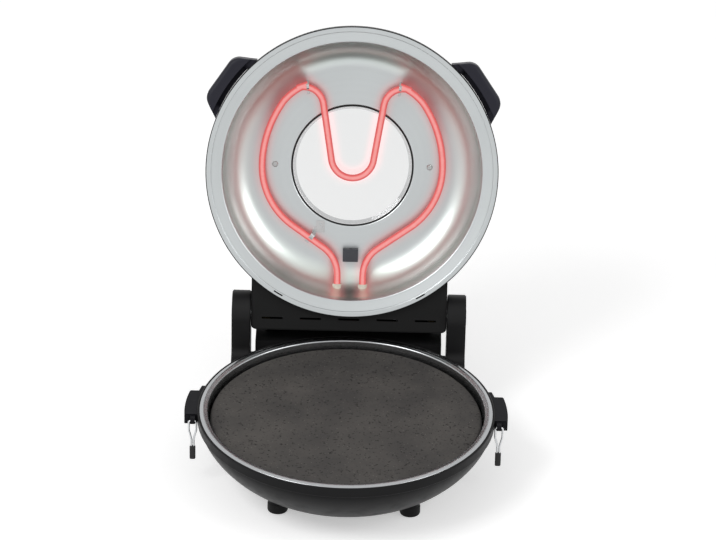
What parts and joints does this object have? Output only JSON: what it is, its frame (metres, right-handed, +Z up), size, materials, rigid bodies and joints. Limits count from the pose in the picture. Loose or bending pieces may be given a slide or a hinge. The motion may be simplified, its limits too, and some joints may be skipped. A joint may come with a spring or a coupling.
{
  "type": "electric pizza maker",
  "caption": "Round countertop oven for pizza: a black dish with a baking stone in a steel tray, and a hinged domed lid with a window and a heating tube.",
  "frame": {"origin": "middle of the open part's box at the height of the table", "axes": "+Z up, -Y to the front where the lid opens, +X to the right seen from the front"},
  "size_m": [0.3696, 0.488, 0.4444],
  "materials": {
    "black_enamel": "satin",
    "bright_steel": "polished",
    "spring_steel": "satin",
    "screw_steel": "satin",
    "baked_stone": "matte",
    "hot_tube": "satin",
    "tube_steel": "satin",
    "bead_ceramic": "matte",
    "black_plastic": "satin",
    "grip_plastic": "satin",
    "knob_plastic": "satin",
    "foot_rubber": "matte",
    "seal_rubber": "matte",
    "window_pane": "clear",
    "bush_brass": "satin",
    "bail_wire": "polished",
    "block_metal": "matte",
    "control_metal": "satin",
    "lamp_red": "clear gloss",
    "wire_red": "matte"
  },
  "bodies": {
    "base": {"base_bowl": "black_enamel", "base_tray": "bright_steel", "tray_posts": "spring_steel", "tray_screws": "screw_steel", "baking_stone": "baked_stone", "lower_element": "tube_steel", "lower_element_clips": "spring_steel", "lower_element_seals": "bead_ceramic", "ear_left": "black_plastic", "ear_right": "black_plastic", "ear_screws": "screw_steel", "leg_left": "black_plastic", "leg_right": "black_plastic", "leg_screws": "screw_steel", "rear_box": "black_plastic", "rear_cover": "black_plastic", "rear_cover_screws": "screw_steel", "cord_gland": "black_plastic", "terminal_block": "bead_ceramic", "thermal_fuse": "control_metal", "base_wiring": "wire_red", "hinge_pin_left": "screw_steel", "hinge_pin_right": "screw_steel", "front_feet": "foot_rubber", "rear_feet": "foot_rubber", "foot_screws": "screw_steel"},
    "lid": {"lid_shell": "black_enamel", "lid_liner": "bright_steel", "liner_screws": "screw_steel", "window_glass": "window_pane", "window_gasket": "seal_rubber", "window_ring": "bright_steel", "window_seal": "seal_rubber", "window_trim": "black_plastic", "upper_element": "hot_tube", "upper_element_straps": "spring_steel", "upper_element_tab": "spring_steel", "upper_element_seals": "bead_ceramic", "sensor_block": "block_metal", "lid_handle_left": "grip_plastic", "lid_handle_right": "grip_plastic", "handle_screws": "screw_steel", "lid_housing": "black_plastic", "housing_cover": "black_plastic", "cover_screws": "screw_steel", "hinge_bush_left": "bush_brass", "hinge_bush_right": "bush_brass", "thermostat": "control_metal", "pilot_lamps": "lamp_red", "lid_wiring": "wire_red"},
    "knob": {"thermostat_spindle": "screw_steel", "thermostat_knob": "knob_plastic"},
    "bail_left": {"bail_left": "bail_wire", "bail_grip_left": "knob_plastic"},
    "bail_right": {"bail_right": "bail_wire", "bail_grip_right": "knob_plastic"}
  },
  "joints": [
    {"name": "lid_hinge", "type": "hinge", "parent": "base", "child": "lid", "pos_m": [0, 0.09742, 0.114], "axis": [1, 0, 0], "range_deg": [0, 110]},
    {"name": "bail_left_swing", "type": "hinge", "parent": "base", "child": "bail_left", "pos_m": [-0.1746, -0.09498, 0.079], "axis": [-1, 0, 0], "range_deg": [-30, 95]},
    {"name": "bail_right_swing", "type": "hinge", "parent": "base", "child": "bail_right", "pos_m": [0.1746, -0.09498, 0.079], "axis": [-1, 0, 0], "range_deg": [-30, 95]},
    {"name": "knob_turn", "type": "hinge", "parent": "lid", "child": "knob", "pos_m": [0.062, 0.12977, 0.10435], "axis": [0, 0.9397, -0.342], "range_deg": [0, 270]}
  ]
}
